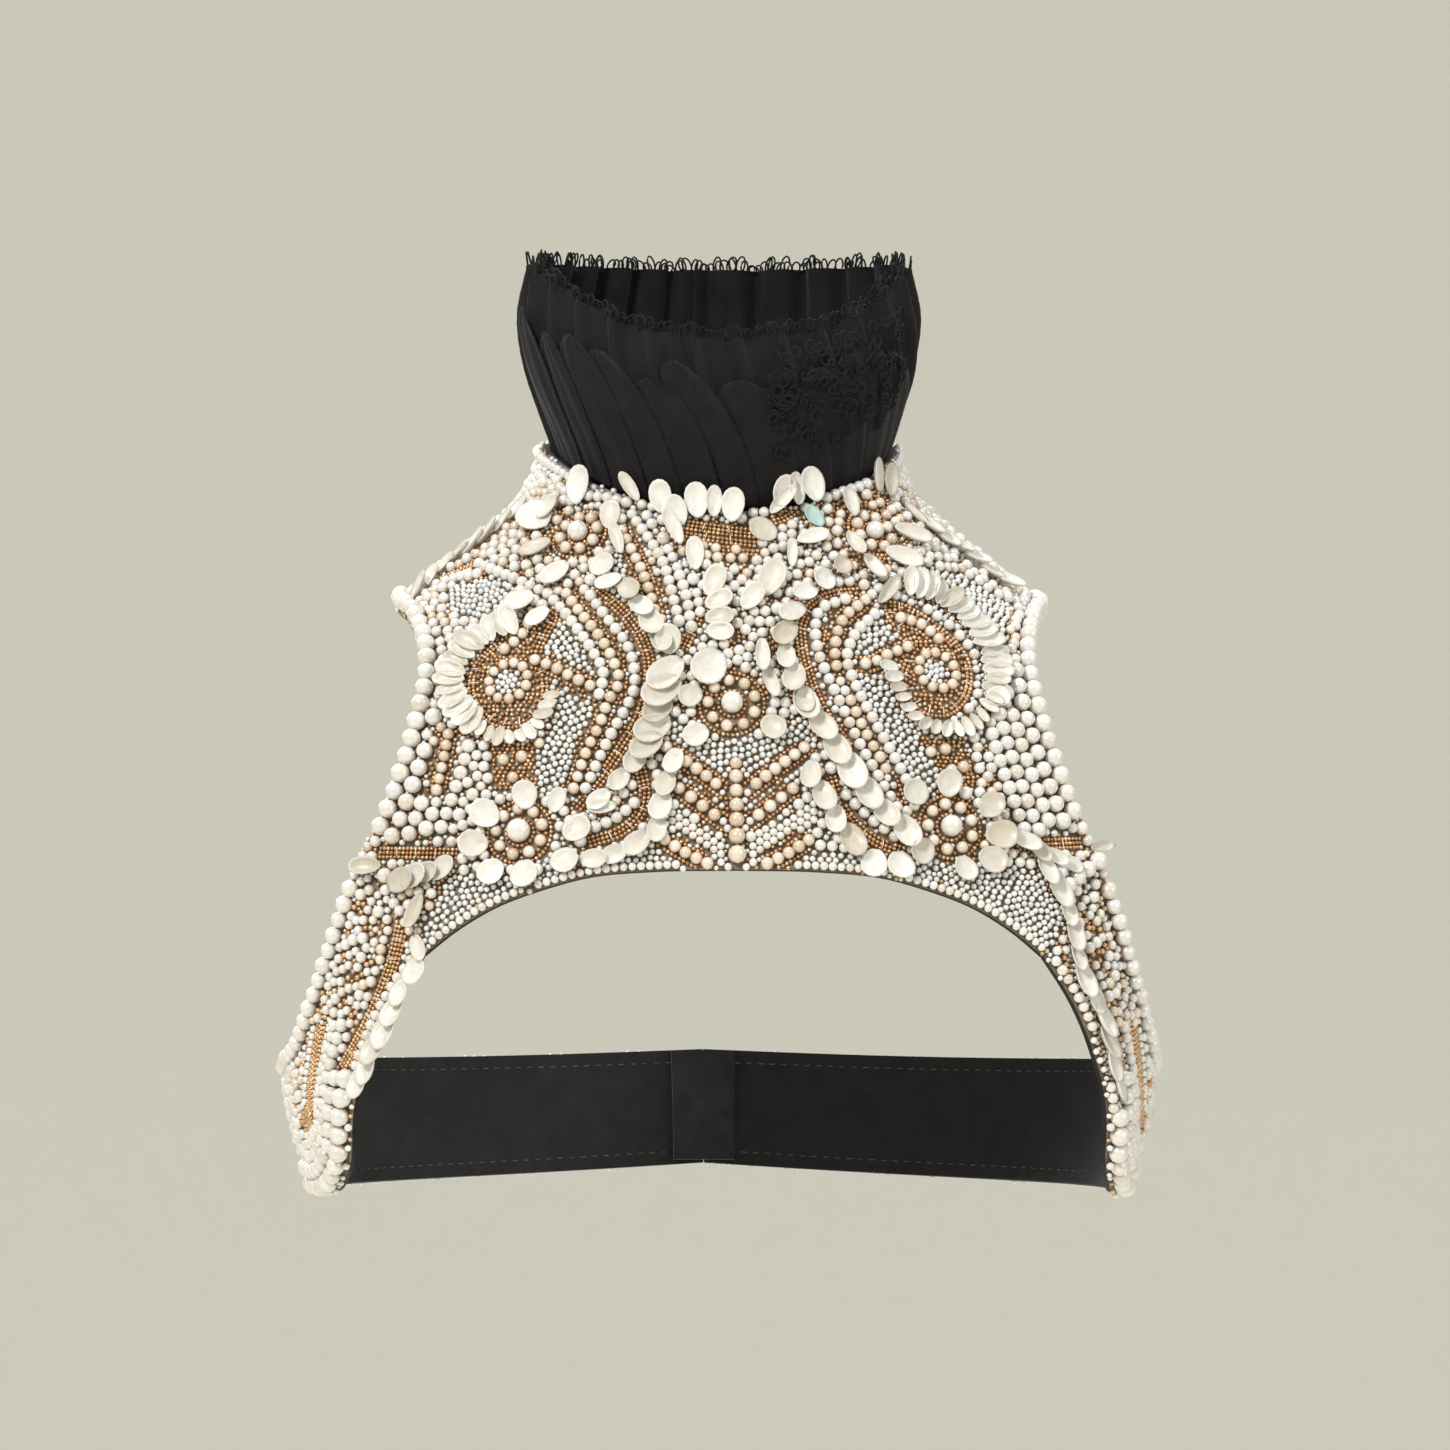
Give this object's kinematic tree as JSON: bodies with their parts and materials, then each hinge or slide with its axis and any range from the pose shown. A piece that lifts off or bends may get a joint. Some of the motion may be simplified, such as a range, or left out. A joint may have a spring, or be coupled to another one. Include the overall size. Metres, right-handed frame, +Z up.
{
  "type": "beaded halter neckpiece",
  "caption": "Worn halter neckpiece: pearl-embroidered yoke over the shoulders, bands under the arms and round the back, and a tall pleated black collar.",
  "frame": {"origin": "centre of the neck, level with the points where neck and shoulders meet", "axes": "+Z up, -Y the way the wearer faces, +X the wearer's left"},
  "size_m": [0.3032, 0.2007, 0.3262],
  "materials": {
    "beaded_cloth": "black ground cloth covered with small pearls",
    "black_cloth": "thin matt pleated cloth with a looped lace edge",
    "black_tape": "woven tape",
    "pearls": "silvery and ivory pearls with a soft lustre",
    "gold_pearls": "champagne pearls with a soft lustre",
    "bronze_beads": "lustrous bronze bugle and seed beads",
    "petal_sequins": "thin ivory shell-like petals, satin"
  },
  "bodies": {
    "root": {"front_yoke": "beaded_cloth", "side_band_left": "beaded_cloth", "side_band_right": "beaded_cloth", "back_yoke_left": "beaded_cloth", "back_yoke_right": "beaded_cloth", "back_band_left": "beaded_cloth", "back_band_right": "beaded_cloth", "pleated_collar": "black_cloth", "yoke_underlap": "black_tape", "band_underlap": "black_tape"}
  },
  "joints": []
}
